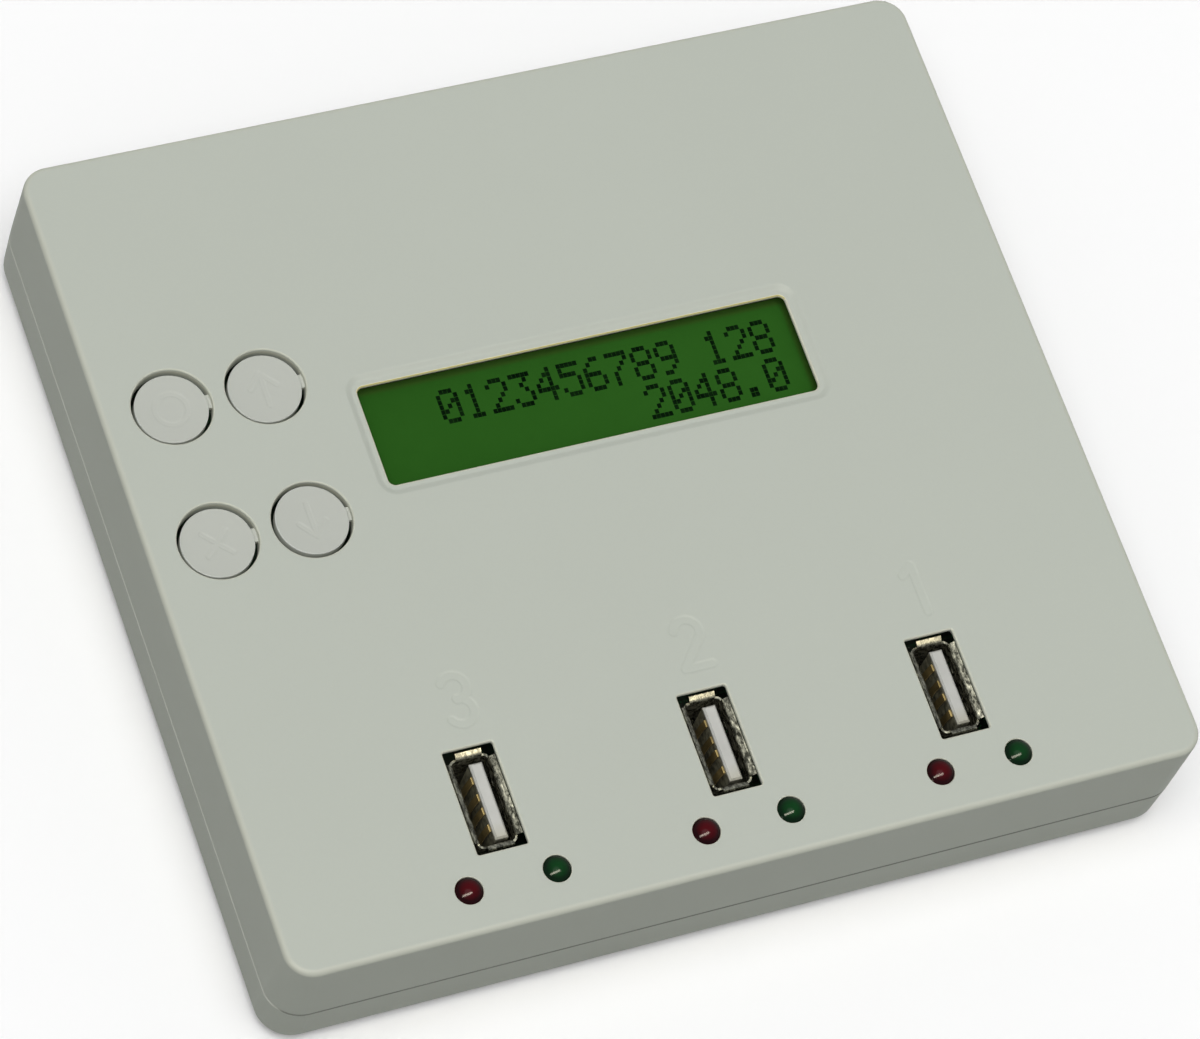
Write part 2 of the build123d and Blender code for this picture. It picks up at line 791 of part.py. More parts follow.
def memory_leads():
    """Pins on two sides of the memory chip."""
    rows = [pin_row(memory_x, chip_y, memory_pins, memory_pitch, memory_width / 2, turn) for turn in (0, 180)]
    return [pin for row in rows for pin in row]


def crystal():
    """The oval can of the crystal on its base."""
    base = Pos(crystal_x, chip_y, board_z) * SlotOverall(crystal_length, crystal_width)
    can = Pos(crystal_x, chip_y, board_z) * SlotOverall(
        crystal_length - 2 * chip_pin_height, crystal_width - 2 * chip_pin_height
    )
    can = extrude(can, amount=crystal_height)
    can = fillet(edges_at(can, board_z + crystal_height), chip_pin_height)
    return can + extrude(base, amount=chip_pin_height)


def capacitors():
    """Two smoothing capacitors beside the power inlet."""
    pair = []
    start = jack_x - jack_width / 2 - capacitor_radius - capacitor_gap
    for i in range(2):
        x = start - i * (2 * capacitor_radius + capacitor_gap)
        can = rod((x, back_row_y), capacitor_radius, board_z, board_z + capacitor_height)
        pair.append(fillet(edges_at(can, board_z + capacitor_height), chip_pin_height))
    return pair


def regulator():
    """Voltage regulator with its tab and three pins, on the other side of the inlet."""
    x = jack_x + jack_width / 2 + capacitor_gap + regulator_length / 2
    y = jack_face_y - jack_length / 2
    low = board_z + chip_standoff
    body = block(x - regulator_length / 2, x + regulator_length / 2, y - regulator_width / 2,
                 y + regulator_width / 2, low, board_z + regulator_height)
    pins = pin_row(x, y, 3, regulator_length / 3, regulator_width / 2, -90)
    half = regulator_length / 4
    tab_y = y + regulator_width / 2
    tab = block(x - half, x + half, tab_y, tab_y + chip_pin_reach, board_z, board_z + chip_pin_height)
    return [body, tab] + pins


def chip_resistors():
    """Series resistors, one beside each LED."""
    y = led_y + spacer_radius + chip_resistor_width
    z = board_z + chip_resistor_height / 2
    piece = Box(chip_resistor_length, chip_resistor_width, chip_resistor_height)
    return [Pos(x, y, z) * piece for x in red_x + green_x]


def feet():
    """Round rubber feet, each seated in its recess."""
    group = []
    for place in foot_places:
        foot = rod(place, foot_radius, 0, base_z + foot_recess)
        group.append(fillet(edges_at(foot, 0), foot_edge_radius))
    return group


def case_screws():
    """Screws that pull the upper case down on the lower case."""
    seat = base_z + head_seat_height
    sizes = (case_screw_length, case_screw_radius, case_head_radius, case_head_height)
    return [screw(place, seat, *sizes, True) for place in boss_places]


def board_screws():
    """Screws that hold the main board on its standoffs."""
    sizes = (board_screw_length, board_screw_radius, board_head_radius, board_head_height)
    return [screw(place, board_z, *sizes, False) for place in standoff_places]


def display_screws():
    """Screws that hold the display board under its bosses."""
    sizes = (display_screw_length, display_screw_radius, display_head_radius, display_head_height)
    return [screw(place, display_board_low_z, *sizes, True) for place in display_places]


def all_parts():
    """Every node by name."""
    nodes = {
        "upper_case": upper_case(),
        "lower_case": lower_case(),
        "main_board": main_board(),
        "display_board": display_board(),
        "display_bezel": display_bezel(),
        "display_glass": display_glass(),
        "display_polariser": display_polariser(),
        "display_contact_strips": contact_strips(),
        "display_backlight": display_backlight(),
        "display_header": header_strip(),
        "display_header_pins": header_pin_row(),
        "led_spacers": led_spacers(),
        "led_leads": led_leads(),
        "switch_covers": switch_covers(),
        "power_jack": jack_housing(),
        "power_jack_pin": jack_pin(),
        "power_jack_contact": jack_leaf(),
        "copy_controller": chip_body(chip_x, chip_y, chip_size, chip_size),
        "copy_controller_leads": controller_leads(),
        "memory_chip": chip_body(memory_x, chip_y, memory_width, memory_length),
        "memory_chip_leads": memory_leads(),
        "crystal": crystal(),
        "capacitors": capacitors(),
        "voltage_regulator": regulator(),
        "led_resistors": chip_resistors(),
        "case_screws": case_screws(),
        "board_screws": board_screws(),
        "display_screws": display_screws(),
        "rubber_feet": feet(),
    }
    for name, place in buttons.items():
        nodes["button_" + name] = button(place)
        nodes["switch_body_" + name] = switch_body(place)
        nodes["switch_plunger_" + name] = switch_plunger(place)
    sockets = list(zip(port_x, red_x, green_x))
    for number, (x, x_red, x_green) in enumerate(reversed(sockets), 1):
        nodes[f"usb_shell_{number}"] = usb_shell(x)
        nodes[f"usb_insulator_{number}"] = usb_insulator(x)
        nodes[f"usb_contacts_{number}"] = usb_contacts(x)
        nodes[f"led_red_{number}"] = led(x_red)
        nodes[f"led_green_{number}"] = led(x_green)
    return nodes


os.makedirs("parts", exist_ok=True)
for node, shape in all_parts().items():
    if isinstance(shape, list):
        shape = Compound(children=[solid for piece in shape for solid in piece.solids()])
    export_step(shape, f"parts/{node}.step")
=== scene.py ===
import bmesh
import bpy
import numpy as np
from math import cos, radians, tan
from mathutils import Matrix, Vector
from mathutils.geometry import delaunay_2d_cdt


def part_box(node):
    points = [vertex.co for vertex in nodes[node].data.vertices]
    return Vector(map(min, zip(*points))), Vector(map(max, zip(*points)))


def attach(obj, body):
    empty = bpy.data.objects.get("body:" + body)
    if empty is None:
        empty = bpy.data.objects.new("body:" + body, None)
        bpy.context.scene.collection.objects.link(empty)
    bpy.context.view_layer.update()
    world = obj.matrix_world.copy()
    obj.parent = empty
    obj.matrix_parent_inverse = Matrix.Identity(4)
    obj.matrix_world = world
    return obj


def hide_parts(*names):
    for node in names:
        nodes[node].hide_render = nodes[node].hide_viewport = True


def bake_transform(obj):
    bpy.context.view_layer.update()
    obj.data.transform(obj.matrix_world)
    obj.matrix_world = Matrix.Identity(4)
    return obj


# A copier for flash drives, put together from the tray up: boards, display, sockets, LEDs, then the top.
# Lengths in the sections are millimetres, and a finished mesh is scaled to metres as it is made. Places and
# depths in the materials are metres, and noise scales are cells to the metre.
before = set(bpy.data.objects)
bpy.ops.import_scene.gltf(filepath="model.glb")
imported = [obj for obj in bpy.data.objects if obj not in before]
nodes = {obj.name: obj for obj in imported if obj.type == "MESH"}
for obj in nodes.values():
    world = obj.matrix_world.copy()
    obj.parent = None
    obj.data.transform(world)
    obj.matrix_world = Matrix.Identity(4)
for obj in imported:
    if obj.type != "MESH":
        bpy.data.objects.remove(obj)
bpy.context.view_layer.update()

# Lower case
# The tray of the two-part case, moulded in the same pale greenish ABS as the top. Its solid is right as it
# is, so it keeps its mesh and gets the moulded finish that the whole case shares.


class Wire:
    """A value or colour in a material. Arithmetic on it adds Math nodes, and node() adds any other node."""

    def __init__(self, tree, socket=None):
        self.tree = tree
        self.socket = socket

    def node(self, kind, settings=None, sockets=None, output=0):
        """Adds a node: its settings first, then a number, colour or wire for each named socket."""
        made = self.tree.nodes.new("ShaderNode" + kind)
        for name, value in (settings or {}).items():
            setattr(made, name, value)
        for name, value in (sockets or {}).items():
            if isinstance(value, Wire):
                self.tree.links.new(value.socket, made.inputs[name])
            else:
                made.inputs[name].default_value = value
        return Wire(self.tree, made.outputs[output] if made.outputs else None)

    def math(self, operation, first, second):
        return self.node("Math", {"operation": operation}, {0: first, 1: second})

    def __add__(self, other):
        return self.math("ADD", self, other)

    def __sub__(self, other):
        return self.math("SUBTRACT", self, other)

    def __rsub__(self, other):
        return self.math("SUBTRACT", other, self)

    def __mul__(self, other):
        return self.math("MULTIPLY", self, other)

    __radd__ = __add__
    __rmul__ = __mul__


def tint(red, green, blue):
    """A colour given as eight-bit screen values, in the linear light that Blender's sockets take."""
    screen = np.array([red, green, blue]) / 255
    linear = np.where(screen <= 0.04045, screen / 12.92, ((screen + 0.055) / 1.055) ** 2.4)
    return (*linear.tolist(), 1.0)


def noise(place, scale, detail=2.0, rough=0.5):
    """Fractal noise from 0 to 1; the scale is cells to the metre."""
    sockets = {"Vector": place, "Scale": scale, "Detail": detail, "Roughness": rough}
    return place.node("TexNoise", None, sockets)


def between(factor, first, second):
    """A colour that goes from the first to the second as the factor goes from 0 to 1. Mix has its colours at
    sockets 6 and 7 and their blend at output 2, under names that its other kinds of value share."""
    return factor.node("Mix", {"data_type": "RGBA"}, {0: factor, 6: first, 7: second}, 2)


def stretch(value, low, high):
    """The share of the way from low to high, held within 0 and 1."""
    return value.node("MapRange", None, {"Value": value, "From Min": low, "From Max": high})


def coordinate(vector, axis):
    """One number of a vector, by the letter of its axis."""
    return vector.node("SeparateXYZ", None, {"Vector": vector}, axis)


def blank(owner):
    """Empties the nodes of a material or a world, and gives a wire to build from."""
    owner.use_nodes = True
    owner.node_tree.nodes.clear()
    return Wire(owner.node_tree)


def finish(name, paint, **constants):
    """A material. paint gets the object coordinates and returns wires for the shader's sockets, and as relief
    a height wire with its depth in metres. What is the same all over is set on the sockets themselves."""
    material = bpy.data.materials.new(name)
    place = blank(material).node("TexCoord", output="Object")
    sockets = paint(place)
    if "relief" in sockets:
        height, depth = sockets.pop("relief")
        sockets["Normal"] = place.node("Bump", None, {"Height": height, "Distance": depth, "Strength": 1.0})
    sockets.update({key.replace("_", " "): value for key, value in constants.items()})
    place.node("OutputMaterial", None, {"Surface": place.node("BsdfPrincipled", None, sockets)})
    return material


def dress(material, *names):
    """Gives CAD nodes their finish."""
    for name in names:
        nodes[name].data.materials[0] = material


# Heights between which the joint's painted shade comes and goes, and the stretch of x where the left wall
# begins.
joint_foot, joint_head, left_side = (0.00929, 0.00935), (0.00968, 0.00972), (-0.0655, -0.0665)
# The joint's painted shade, its paler paint on the left side, and the edges' painted yellow glow.
joint_shade, joint_left_pale, painted_glow = tint(120, 123, 115), tint(196, 199, 189), tint(190, 182, 108)


def moulded(colour, edge, shade, grain):
    """Moulded plastic: faint clouds in the colour, a fine spark-eroded grain, and a slow wave from shrinkage.
    Where a piece's painted_light attribute says so, the edges get a painted highlight, past 1 a painted
    yellow glow.
    Painted shade darkens the joint between the halves of the case; on the left side it is painted paler
    instead."""

    def paint(place):
        painted_light = place.node("Attribute", {"attribute_name": "painted_light"}, output="Fac")
        clouds = noise(place, 22.0, 3.0)
        speck = noise(place, 2600.0)
        wave = noise(place, 55.0, 1.0)
        rubbed_and_sheen = stretch(noise(place, 9.0, 4.0), 0.45, 0.75)
        height = coordinate(place, "Z")
        # Painted shade along the joint's band, painted paler on the left side.
        joint = stretch(height, *joint_foot) - stretch(height, *joint_head)
        joint_tone = between(stretch(coordinate(place, "X"), *left_side), joint_shade, joint_left_pale)
        light = tuple(min(1.0, c * (1 + shade)) for c in colour[:3]) + (1.0,)
        dark = tuple(c * (1 - shade) for c in colour[:3]) + (1.0,)
        plain = between(clouds * 0.7 + speck * 0.3, dark, light)
        # The edges' painted highlight, and past 1 their painted yellow glow.
        edge_glow = between(stretch(painted_light, 1.0, 2.0), edge, painted_glow)
        highlighted = between(stretch(painted_light, 0.0, 1.0), plain, edge_glow)
        return {
            "Base Color": between(joint * 0.9, highlighted, joint_tone),
            "Roughness": 0.5 - rubbed_and_sheen * 0.07 + speck * 0.06 - painted_light * 0.06,
            "relief": (speck * 0.35 + wave, grain),
        }

    return paint


# The edge colour is the painted highlight on the case's edges.
case_finish = moulded(tint(183, 188, 178), edge=tint(216, 212, 188), shade=0.035, grain=0.00002)
case_plastic = finish("case_plastic", case_finish, Specular_IOR_Level=0.07)
dress(case_plastic, "lower_case")

# Rubber feet
# Four round pads of black rubber, die-cut and pressed into shallow recesses under the tray.


def rubber(place):
    """Black rubber, greyer where a bloom has come out of it."""
    bloom = stretch(noise(place, 400.0, 4.0), 0.4, 0.8)
    return {
        "Base Color": between(bloom, tint(24, 24, 25), tint(52, 51, 50)),
        "Roughness": 0.78 + bloom * 0.15,
        "relief": (noise(place, 3000.0, 3.0), 0.00004),
    }


dress(finish("foot_rubber", rubber), "rubber_feet")

# Main board
# A glass-epoxy board under green solder mask on four standoffs. Tracks show as faintly raised, lighter lines
# under the mask; the weave of the glass shows in the relief.


def solder_mask(mask, track):
    """Green lacquer over copper and glass cloth. The tracks are the joints of a brick pattern, kept where a
    broad noise is high, and the weave is a slanting wave that only the relief shows."""

    def paint(place):
        bricks = place.node("TexBrick", {"offset": 0.5}, {
            "Vector": place, "Scale": 160.0, "Mortar Size": 0.035, "Mortar Smooth": 0.2,
            "Color1": (0, 0, 0, 1), "Color2": (0, 0, 0, 1), "Mortar": (1, 1, 1, 1)})
        weave = place.node("TexWave", {"bands_direction": "DIAGONAL"}, {
            "Vector": place, "Scale": 900.0, "Distortion": 0.6})
        tone = stretch(noise(place, 60.0, 4.0), 0.35, 0.7)
        tracks = bricks * stretch(noise(place, 34.0, 1.0), 0.48, 0.52)
        return {
            "Base Color": between(tracks * 0.8 + tone * 0.2, mask, track),
            "Roughness": 0.28 + tone * 0.12,
            "relief": (tracks + weave * 0.12, 0.00004),
        }

    return paint


circuit_board = finish("circuit_board", solder_mask(tint(12, 66, 36), tint(40, 112, 62)), Coat_Weight=0.3)
dress(circuit_board, "main_board", "display_board")

# Switches under the buttons
# Black nylon bodies with a pressed steel cover riveted on, and a black plunger that stands out of each.


def black_moulding(place):
    """Black nylon with a fine grain that dulls it."""
    speck = noise(place, 1800.0, 3.0)
    return {
        "Base Color": between(speck, tint(17, 17, 18), tint(36, 36, 37)),
        "Roughness": 0.42 + speck * 0.2,
        "relief": (speck, 0.000012),
    }


def rolled_metal(dark, light, rough, stain):
    """Rolled or plated sheet: streaks along X from a squeezed noise, broad stains in its colour and gloss."""

    def paint(place):
        squeezed = place.node("Mapping", None, {"Vector": place, "Scale": (0.25, 1.0, 1.0)})
        streak = noise(squeezed, 2200.0, 3.0, 0.6)
        blotch = noise(place, 420.0, 3.0)
        return {
            "Base Color": between(streak * 0.4 + blotch * 0.6, dark, light),
            "Roughness": rough + blotch * stain + streak * 0.06,
            "relief": (streak, 0.000004),
        }

    return paint


board_black = finish("board_black", black_moulding)
corners = ("front_left", "back_left", "front_right", "back_right")
dress(board_black, *("switch_body_" + c for c in corners), *("switch_plunger_" + c for c in corners))
nickel = rolled_metal(tint(150, 147, 138), tint(214, 211, 200), rough=0.22, stain=0.2)
nickel_steel = finish("nickel_steel", nickel, Metallic=1.0)
dress(nickel_steel, "switch_covers")

# Parts on the main board
# Chips in black epoxy, a crystal in a tin can, capacitors in printed sleeves, tinned leads, the power inlet.


def chip_epoxy(place):
    """Filled black epoxy, matt with grit."""
    grit = noise(place, 5200.0)
    return {
        "Base Color": between(grit, tint(23, 24, 26), tint(48, 48, 50)),
        "Roughness": 0.55 + grit * 0.2,
        "relief": (grit, 0.00002),
    }


def sleeve(place):
    """Dark blue film shrunk on, in soft folds."""
    fold = noise(place, 700.0)
    return {
        "Base Color": between(fold, tint(20, 26, 60), tint(36, 46, 92)),
        "Roughness": 0.3 + fold * 0.15,
        "relief": (fold, 0.00003),
    }


epoxy = finish("chip_black", chip_epoxy)
dress(epoxy, "copy_controller", "memory_chip", "voltage_regulator", "led_resistors")
tinned = rolled_metal(tint(166, 166, 164), tint(222, 222, 218), rough=0.25, stain=0.25)
dress(finish("tin_leads", tinned, Metallic=1.0), "copy_controller_leads", "memory_chip_leads", "led_leads")
dress(finish("capacitor_sleeve", sleeve, Coat_Weight=0.4), "capacitors")
can = rolled_metal(tint(176, 174, 166), tint(226, 224, 214), rough=0.18, stain=0.2)
dress(finish("crystal_can", can, Metallic=1.0), "crystal")
brass = rolled_metal(tint(16, 15, 10), tint(150, 134, 92), rough=0.32, stain=0.2)
contact_brass = finish("contact_brass", brass, Metallic=1.0)
dress(board_black, "power_jack", "display_header", "led_spacers")
dress(contact_brass, "display_header_pins", "power_jack_contact")
dress(nickel_steel, "power_jack_pin")

# Display module
# Two glass plates with liquid between them over a green backlight, pressed onto the board by rubber contact
# strips and a black steel bezel; the polariser film on top is what the window shows.


def black_enamel(place):
    """Stoved black paint with a little orange peel."""
    peel = noise(place, 1100.0)
    return {
        "Base Color": between(peel, tint(15, 15, 16), tint(30, 30, 32)),
        "Roughness": 0.33 + peel * 0.12,
        "relief": (peel, 0.00001),
    }


def milky(place):
    """Clouded acrylic that spreads the light of the backlight."""
    cloud = noise(place, 90.0)
    return {
        "Base Color": between(cloud, tint(196, 206, 178), tint(220, 228, 202)),
        "Roughness": 0.35 + cloud * 0.1,
        "relief": (noise(place, 1500.0), 0.00001),
    }


# Where the lit field ends at the back and on the right, and how far its tone goes across from left to right.
field_back, field_right, field_across = (0.01835, 0.01885), (0.0325, 0.0331), (-0.032, 0.034)


def green_film(place):
    """Film over the dark cells: even green, a shade paler to the right, with the faint stipple of its matt
    side. Past the field that the cells light, at the back and on the right, the film turns a duller olive."""
    x = coordinate(place, "X")
    back = stretch(coordinate(place, "Y"), *field_back)
    stipple = noise(place, 4200.0)
    blotch = noise(place, 420.0, 3.0)
    tone = noise(place, 70.0) * 0.3 + stretch(x, *field_across) * 0.3 + stipple * 0.15 + blotch * 0.25
    past_field = back.math("MAXIMUM", back, stretch(x, *field_right))
    lit = between(tone, tint(34, 80, 20), tint(44, 94, 29))
    return {
        "Base Color": between(past_field, lit, tint(50, 84, 26)),
        "Roughness": 0.5 + stipple * 0.12,
        "relief": (stipple, 0.000004),
    }


def strip_rubber(place):
    """Grey and black silicone in fine bands across the strip, conductive and not by turns."""
    band = place.node("TexWave", {"bands_direction": "X"}, {"Vector": place, "Scale": 1500.0})
    return {
        "Base Color": between(band, tint(30, 30, 32), tint(120, 120, 122)),
        "Roughness": 0.6 + band * 0.1,
        "relief": (band, 0.00001),
    }


def clear_plate(place):
    """Glass with a greenish haze of liquid crystal."""
    haze = noise(place, 300.0)
    return {
        "Base Color": between(haze, tint(150, 178, 150), tint(164, 190, 162)),
        "Roughness": 0.05 + haze * 0.05,
    }


dress(finish("display_film", green_film, Specular_IOR_Level=0.01), "display_polariser")
dress(finish("black_steel", black_enamel), "display_bezel")
dress(finish("light_guide", milky), "display_backlight")
dress(finish("elastomer", strip_rubber), "display_contact_strips")
dress(finish("display_glass", clear_plate, Transmission_Weight=0.8), "display_glass")

# Millimetres to the metre, and in millimetres the gap under which two points of a piece are one.
per_metre, weld_gap = 1000, 0.0005


def placed(name, data):
    """A new object in the scene for a mesh, a light or a camera."""
    made = bpy.data.objects.new(name, data)
    bpy.context.scene.collection.objects.link(made)
    return made


def piece(name, parts, material, body=None, crease=40.0):
    """Joins grids of points and faces given in millimetres into one mesh in metres, welds what meets, and
    weights its normals by face area, so that flats stay flat beside their fillets. A fourth number of a point
    says how much painted light the piece has there: a painted highlight, and past 1 a painted glow."""
    start = np.cumsum([0] + [len(points) for points, _ in parts])
    faces = []
    for (_, group), first in zip(parts, start):
        faces += (np.asarray(group) + first).tolist()
    points = np.concatenate([np.pad(points, ((0, 0), (0, 4 - points.shape[1]))) for points, _ in parts])
    mesh = bpy.data.meshes.new(name)
    mesh.from_pydata(points[:, :3].tolist(), [], faces)
    mesh.attributes.new("painted_light", "FLOAT", "POINT").data.foreach_set("value", points[:, 3].astype(np.float32))
    mesh.materials.append(material)
    welded = bmesh.new()
    welded.from_mesh(mesh)
    bmesh.ops.remove_doubles(welded, verts=welded.verts, dist=weld_gap)
    bmesh.ops.scale(welded, verts=welded.verts, vec=(1 / per_metre,) * 3)
    welded.to_mesh(mesh)
    welded.free()
    mesh.polygons.foreach_set("use_smooth", [True] * len(mesh.polygons))
    mesh.set_sharp_from_angle(angle=radians(crease))
    made = placed(name, mesh)
    weighted = made.modifiers.new("flat faces stay flat", "WEIGHTED_NORMAL")
    weighted.keep_sharp = True
    if body:
        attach(made, body)
    return made


# Seven rows of five dots for each figure, top row first, as character displays hold them.
dot_rows = {
    "0": "01110 10001 10011 10101 11001 10001 01110", "1": "00100 01100 00100 00100 00100 00100 01110",
    "2": "01110 10001 00001 00010 00100 01000 11111", "3": "11111 00010 00100 00010 00001 10001 01110",
    "4": "00010 00110 01010 10010 11111 00010 00010", "5": "11111 10000 11110 00001 00001 10001 01110",
    "6": "00110 01000 10000 11110 10001 10001 01110", "7": "11111 00001 00010 00100 01000 01000 01000",
    "8": "01110 10001 10001 01110 10001 10001 01110", "9": "01110 10001 10001 01111 00001 00010 01100",
    ".": "00000 00000 00000 00000 00000 01100 01100", " ": "00000 00000 00000 00000 00000 00000 00000",
}
display_lines = ("  0123456789 128", "          2048.0")
cell_pitch, line_pitch, dot_x, dot_y = 3.6, 6.05, 0.62, 0.755
film_top = per_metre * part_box("display_polariser")[1][2]
display_x, display_y = 1.37, 11.3


def lit_dots():
    """Places of the dark dots: column by cell and dot pitch, row by line and dot pitch, from the middle of
    the display, for each 1 in the table."""
    places = []
    for line, text in enumerate(display_lines):
        grid = np.array([[[int(d) for d in row] for row in dot_rows[c].split()] for c in text])
        middle_cell, middle_row, middle_column = ((count - 1) / 2 for count in grid.shape)
        middle_line = (len(display_lines) - 1) / 2
        cell, row, column = np.nonzero(grid)
        x = display_x + (cell - middle_cell) * cell_pitch + (column - middle_column) * dot_x
        y = display_y + (middle_line - line) * line_pitch + (middle_row - row) * dot_y
        places.append(np.stack([x, y], 1))
    return np.concatenate(places)


def plates(places, half_x, half_y, low, high, inset):
    """A low plate with sloped sides at each place: its foot is the full size, its face less by the inset."""
    sign = np.array([[-1, -1], [1, -1], [1, 1], [-1, 1]], float)
    foot = sign * [half_x, half_y]
    face = sign * [half_x - inset, half_y - inset]
    shape = np.concatenate([np.c_[foot, np.full(4, low)], np.c_[face, np.full(4, high)]])
    points = np.concatenate([places, np.zeros((len(places), 1))], 1)[:, None, :] + shape[None]
    one = np.array([[0, 1, 5, 4], [1, 2, 6, 5], [2, 3, 7, 6], [3, 0, 4, 7], [4, 5, 6, 7], [3, 2, 1, 0]])
    faces = one[None] + len(shape) * np.arange(len(places))[:, None, None]
    return points.reshape(-1, 3), faces.reshape(-1, 4)


def cell_dark(place):
    """Liquid crystal that is switched on: nearly black green, uneven where it thins."""
    uneven = stretch(noise(place, 900.0, 3.0), 0.3, 0.75)
    return {
        "Base Color": between(uneven, tint(4, 16, 6), tint(16, 38, 14)),
        "Roughness": 0.6 + uneven * 0.1,
    }


dot_low, dot_high = film_top - 0.02, film_top + 0.005
dot_plates = plates(lit_dots(), half_x=0.305, half_y=0.36, low=dot_low, high=dot_high, inset=0.01)
display_cells = finish("display_cells", cell_dark, Specular_IOR_Level=0.0)
dots = piece("display_dots", [dot_plates], display_cells, "case")

# Sockets
# Three upright USB-A sockets: a stamped and folded steel shell with flared lips, a white insulator with its
# tongue, and four sprung contacts on the tongue's left face.

# Heights between which painted shade comes, and the stretches of y where yellowing and the shell's painted
# bright lip begin.
shade_depth, yellow_front, lip_sheen = (0.0218, 0.0212), (-0.0462, -0.0492), (-0.0368, -0.0364)


def white_insulator(place):
    """Glass-filled nylon: white on its end, painted grey as painted shade the deeper it lies, yellower
    towards the front.
    """
    cloud = noise(place, 260.0, 3.0)
    # Painted shade: darker the deeper the insulator lies.
    depth = stretch(coordinate(place, "Z"), *shade_depth)
    front = stretch(coordinate(place, "Y"), *yellow_front)
    white = between(cloud, tint(158, 159, 155), tint(177, 178, 175))
    clean = between(front * 0.7, white, tint(150, 146, 122))
    shade_blotch = stretch(noise(place, 1300.0, 3.0), 0.35, 0.65)
    shaded = between(shade_blotch, tint(44, 44, 30), tint(124, 122, 102))
    return {
        "Base Color": between(depth, clean, shaded),
        "Roughness": 0.38 + cloud * 0.12,
        "relief": (noise(place, 2500.0), 0.00001),
    }


def tarnished(place):
    """Tin-plated steel long in the air: dull olive blotches between brighter specks, drawn out along Y. The
    lip at the back is painted brighter, a painted reflection."""
    drawn = place.node("Mapping", None, {"Vector": place, "Scale": (1.0, 0.45, 1.0)})
    blotch = stretch(noise(drawn, 1900.0, 4.0, 0.75), 0.42, 0.68)
    broad = stretch(noise(place, 300.0), 0.3, 0.7)
    dull = between(blotch * 0.8 + broad * 0.2, tint(34, 35, 28), tint(144, 145, 134))
    # Painted reflection: the back lip is painted brighter.
    rubbed_and_sheen = stretch(coordinate(place, "Y"), *lip_sheen)
    return {
        "Base Color": between(rubbed_and_sheen * 0.9, dull, tint(150, 146, 126)),
        "Roughness": 0.24 + blotch * 0.2,
        "relief": (blotch, 0.00001),
    }


white_plastic = finish("white_plastic", white_insulator)
shell_steel = finish("shell_steel", tarnished, Metallic=1.0)
for number in "123":
    dress(shell_steel, "usb_shell_" + number)
    dress(white_plastic, "usb_insulator_" + number)
    dress(contact_brass, "usb_contacts_" + number)

# LEDs
# Three red and three green LEDs cast in dark tinted epoxy, a pair in front of each socket. Their colour is
# painted darker towards the rim as painted shade, and lighter where the dome faces up over the cup inside.
leds_y, red_x, green_x = -55.1, (-40.1, -6.1, 28.5), (-27.6, 6.3, 40.2)


def tinted(rim_shade, clear):
    """Cast epoxy: its colour runs from painted shade at the rim to clear where it faces up, by the upright
    share of the normal.
    """

    def paint(place):
        normal = place.node("NewGeometry", output="Normal")
        # Painted shade: the colour darkens as the surface turns from upright, towards the rim.
        depth = stretch(coordinate(normal, "Z"), 0.68, 0.98) * 0.75 + noise(place, 1400.0) * 0.25
        return {
            "Base Color": between(depth, rim_shade, clear),
            "Roughness": 0.1 + noise(place, 900.0) * 0.08,
        }

    return paint


led_red = finish("led_red", tinted(tint(16, 2, 6), tint(78, 8, 16)), Specular_IOR_Level=0.05)
led_green = finish("led_green", tinted(tint(3, 20, 10), tint(14, 62, 26)), Specular_IOR_Level=0.05)

# Upper case
# The shell that is seen: one moulding with drafted walls, a soft top edge, a sloped frame round the window,
# rounded button holes, cut-outs for sockets and LEDs, and the socket numbers sunk into the top.
top, ceiling, parting = 23.3, 21.1, 9.6
half_wide, half_deep, draft = 67.2, 61.7, 2.0
slope = tan(radians(draft))
sockets_x, sockets_y = (-33.7, 0.2, 34.1), -43.1
window_x, window_y = 0.8, 11.3
button_places = {"front_left": (-56.8, 1.25), "back_left": (-56.75, 21.85), "front_right": (-43.4, 1.25),
                 "back_right": (-43.35, 21.85)}


def rounded(x, y, half_x, half_y, radius, steps):
    """A rounded rectangle run anticlockwise: rows of x, y and outward normal, one arc to each corner."""
    angle = np.linspace(0, np.pi / 2, steps + 1)[None] + np.arange(4)[:, None] * np.pi / 2
    normal = np.stack([np.cos(angle), np.sin(angle)], -1)
    corner = np.array([[1, 1], [-1, 1], [-1, -1], [1, -1]]) * [half_x - radius, half_y - radius] + [x, y]
    return np.concatenate([corner[:, None] + radius * normal, normal], -1).reshape(-1, 4)


def circle(x, y, radius, steps):
    """A circle run anticlockwise, as rows of x, y and outward normal."""
    angle = np.arange(steps) / steps * 2 * np.pi
    normal = np.stack([np.cos(angle), np.sin(angle)], 1)
    return np.concatenate([normal * radius + [x, y], normal], 1)


def carried(loop, profile):
    """A profile carried round a closed loop: each loop point moves out along its normal by the profile's
    first number, and stands at the height of its second. A profile that rises faces outwards. Its third
    number is the painted light along it. A loop that changes along the profile has a row for each profile
    point."""
    out, height, painted_light = np.asarray(profile, float).T
    shape = (len(loop), len(out), 2)
    rows_of = loop if loop.ndim == 3 else loop[:, None]
    flat_points = rows_of[..., :2] + rows_of[..., 2:] * out[None, :, None]
    points = np.concatenate([flat_points, np.broadcast_to(np.stack([height, painted_light], 1)[None], shape)], 2)
    i, j = np.meshgrid(np.arange(len(loop)), np.arange(len(out) - 1), indexing="ij")
    k = (i + 1) % len(loop)
    n = len(out)
    faces = np.stack([i * n + j, k * n + j, k * n + j + 1, i * n + j + 1], -1)
    return points.reshape(-1, 4), faces.reshape(-1, 4)


